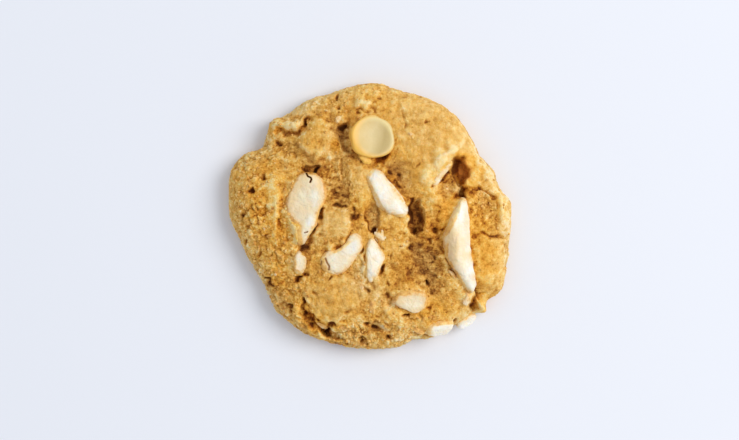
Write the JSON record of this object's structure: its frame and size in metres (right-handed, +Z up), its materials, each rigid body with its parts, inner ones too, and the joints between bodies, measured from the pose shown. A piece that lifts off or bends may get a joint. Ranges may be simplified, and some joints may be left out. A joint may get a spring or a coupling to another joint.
{
  "type": "white chocolate macadamia cookie",
  "caption": "Round, craggy baked cookie with a flat underside, broken macadamia pieces and a white chocolate chip set in its domed top.",
  "frame": {"origin": "on the flat underside, below the middle of the cookie's bounding box", "axes": "+Z up through the cookie; +X to the right and +Y to the top as the cookie is seen from above with the chip at the top"},
  "size_m": [0.068, 0.064, 0.0132],
  "materials": {
    "baked_dough": "baked dough, dry, crumbly and matt",
    "macadamia": "pale broken nut, slightly oily",
    "white_chocolate": "ivory white chocolate, satin"
  },
  "bodies": {
    "root": {"cookie_dough": "baked_dough", "macadamia_left": "macadamia", "macadamia_middle": "macadamia", "macadamia_bean": "macadamia", "macadamia_sliver": "macadamia", "macadamia_long": "macadamia", "macadamia_wedge": "macadamia", "macadamia_covered": "macadamia", "macadamia_edge_large": "macadamia", "macadamia_edge_small": "macadamia", "macadamia_lip": "macadamia", "white_chocolate_chip": "white_chocolate"}
  },
  "joints": []
}
